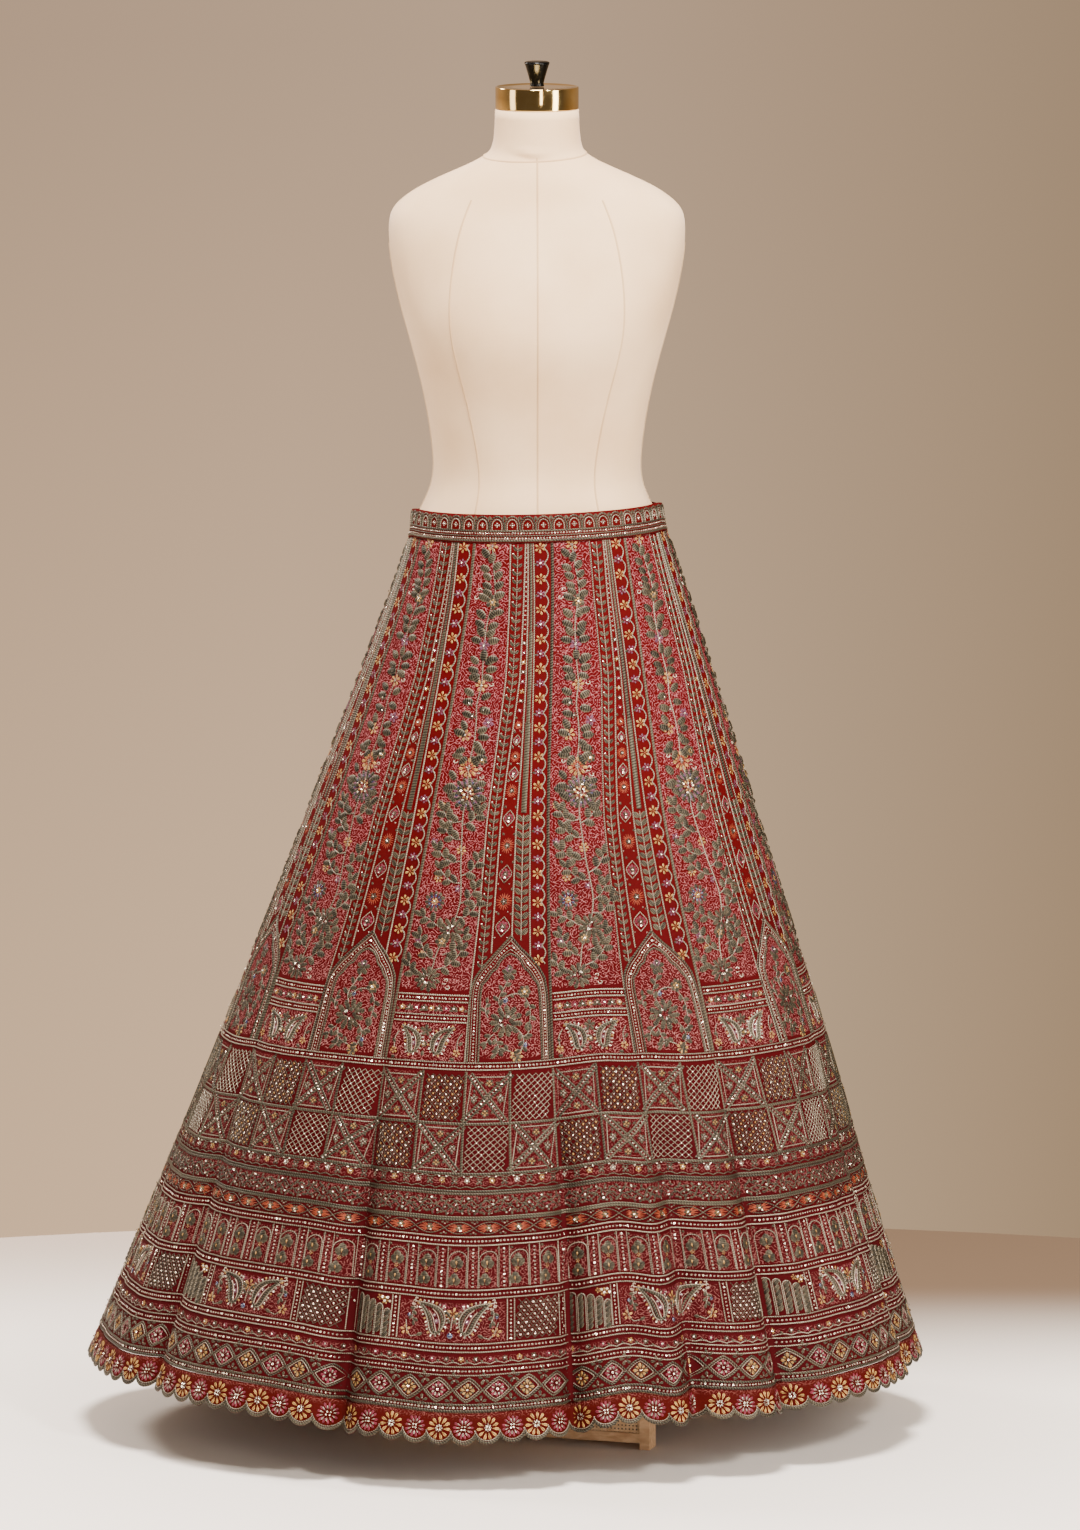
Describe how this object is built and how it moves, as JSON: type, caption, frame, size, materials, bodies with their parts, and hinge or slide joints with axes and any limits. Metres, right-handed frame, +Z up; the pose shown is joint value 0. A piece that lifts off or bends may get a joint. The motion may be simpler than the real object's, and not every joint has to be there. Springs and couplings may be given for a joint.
{
  "type": "lehenga skirt on a dress form",
  "caption": "Ankle-length flared lehenga skirt with embroidered gores and a scalloped hem, on a linen dress form with a brass neck cap and a low cane-sided base.",
  "frame": {"origin": "middle of the whole part's box in X and Y, on the floor under the base's feet", "axes": "+Z up along the dress form's axis; -Y is the skirt's front; +X is to the right seen from the front, the way the hem is widest"},
  "size_m": [0.987, 0.7892, 1.6111],
  "materials": {
    "embroidered_silk": "red silk covered with raised zari, thread and bead embroidery",
    "trim_silk": "orange-red silk with beaded daisies and a braided scalloped edge",
    "form_linen": "tight cream linen",
    "cap_brass": "polished",
    "knob_lacquer": "black gloss lacquer",
    "pole_paint": "satin black paint",
    "base_wood": "pale, dry, unvarnished",
    "base_cane": "woven natural cane"
  },
  "bodies": {
    "root": {"waistband": "embroidered_silk", "gore_1": "embroidered_silk", "gore_2": "embroidered_silk", "gore_3": "embroidered_silk", "gore_4": "embroidered_silk", "gore_5": "embroidered_silk", "gore_6": "embroidered_silk", "gore_7": "embroidered_silk", "gore_8": "embroidered_silk", "gore_9": "embroidered_silk", "gore_10": "embroidered_silk", "hem_trim_1": "trim_silk", "hem_trim_2": "trim_silk", "hem_trim_3": "trim_silk", "hem_trim_4": "trim_silk", "hem_trim_5": "trim_silk", "hem_trim_6": "trim_silk", "hem_trim_7": "trim_silk", "hem_trim_8": "trim_silk", "hem_trim_9": "trim_silk", "hem_trim_10": "trim_silk", "form_torso": "form_linen", "form_cap": "cap_brass", "form_knob": "knob_lacquer", "form_pole": "pole_paint", "base_board": "base_wood", "base_rail_front": "base_wood", "base_rail_back": "base_wood", "base_apron_left": "base_wood", "base_apron_right": "base_wood", "base_post_1": "base_wood", "base_post_2": "base_wood", "base_post_3": "base_wood", "base_post_4": "base_wood", "base_cane_front": "base_cane", "base_cane_back": "base_cane"}
  },
  "joints": []
}
